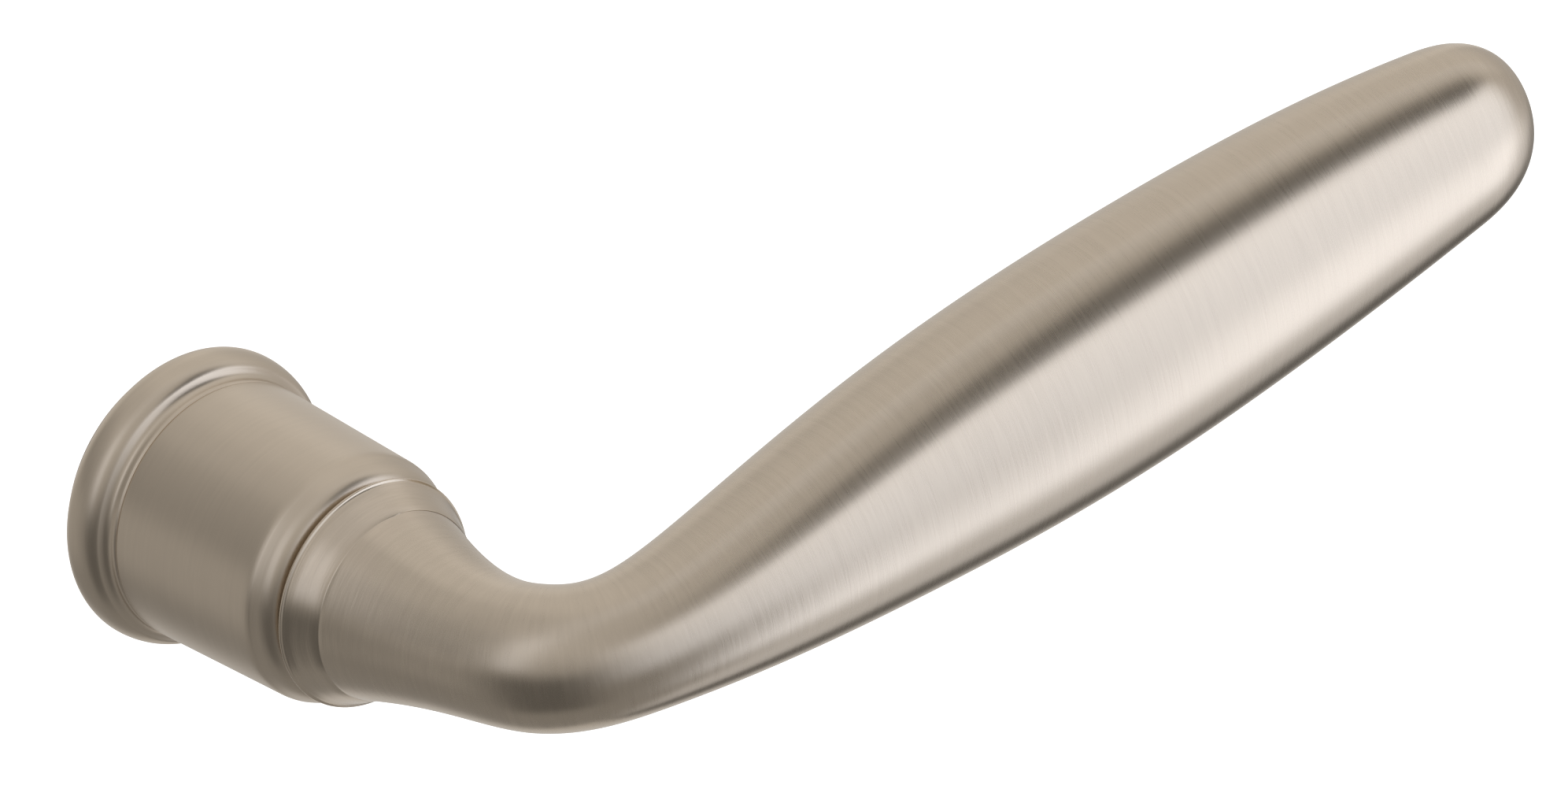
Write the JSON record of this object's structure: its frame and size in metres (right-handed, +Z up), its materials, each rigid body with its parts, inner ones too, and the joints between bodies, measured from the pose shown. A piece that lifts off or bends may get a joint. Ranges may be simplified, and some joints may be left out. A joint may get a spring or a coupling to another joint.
{
  "type": "door lever handle",
  "caption": "Door lever handle with a tapered oval grip curving into a round neck and ring, on a slim turned collar with a rounded rim; sprung to return level.",
  "frame": {"origin": "on the spindle axis, in the plane of the collar's back face, which is the face of the door", "axes": "+X along the lever towards its tip at rest, +Y into the door along the spindle axis, +Z up"},
  "size_m": [0.13, 0.0647, 0.0284],
  "materials": {
    "satin_nickel": "satin nickel plate on brass, turned with a fine circular grain",
    "satin_nickel_lever": "satin nickel plate on brass, brushed across the grip",
    "zinc_casting": "die-cast zinc alloy, matt",
    "black_nylon": "matt black nylon",
    "bronze": "sintered bronze, oiled",
    "brass": "machined brass",
    "steel": "turned steel, zinc plated",
    "spring_steel": "oiled spring steel",
    "black_steel": "black-oxide steel"
  },
  "bodies": {
    "rose": {"collar": "satin_nickel", "bearing_housing": "zinc_casting", "door_pad": "black_nylon", "rear_bush": "bronze", "front_bush": "bronze", "front_cover": "zinc_casting", "cover_snap_ring": "spring_steel", "thrust_washer": "steel", "return_spring": "spring_steel", "collar_grub_screw": "black_steel", "glide_washer": "black_nylon"},
    "lever": {"lever_handle": "satin_nickel_lever", "shank": "steel", "spigot_pin": "steel", "spindle_grub_screw": "black_steel", "spring_driver": "brass", "driver_key": "steel", "wave_washer": "spring_steel", "backing_washer": "steel", "retaining_ring": "spring_steel"}
  },
  "joints": [
    {"name": "lever_turn", "type": "hinge", "parent": "rose", "child": "lever", "pos_m": [0, 0, 0], "axis": [0, 1, 0], "range_deg": [0, 45], "stiffness_Nm_per_rad": 0.55, "springref_deg": -45.84, "deforming": ["return_spring"]}
  ]
}
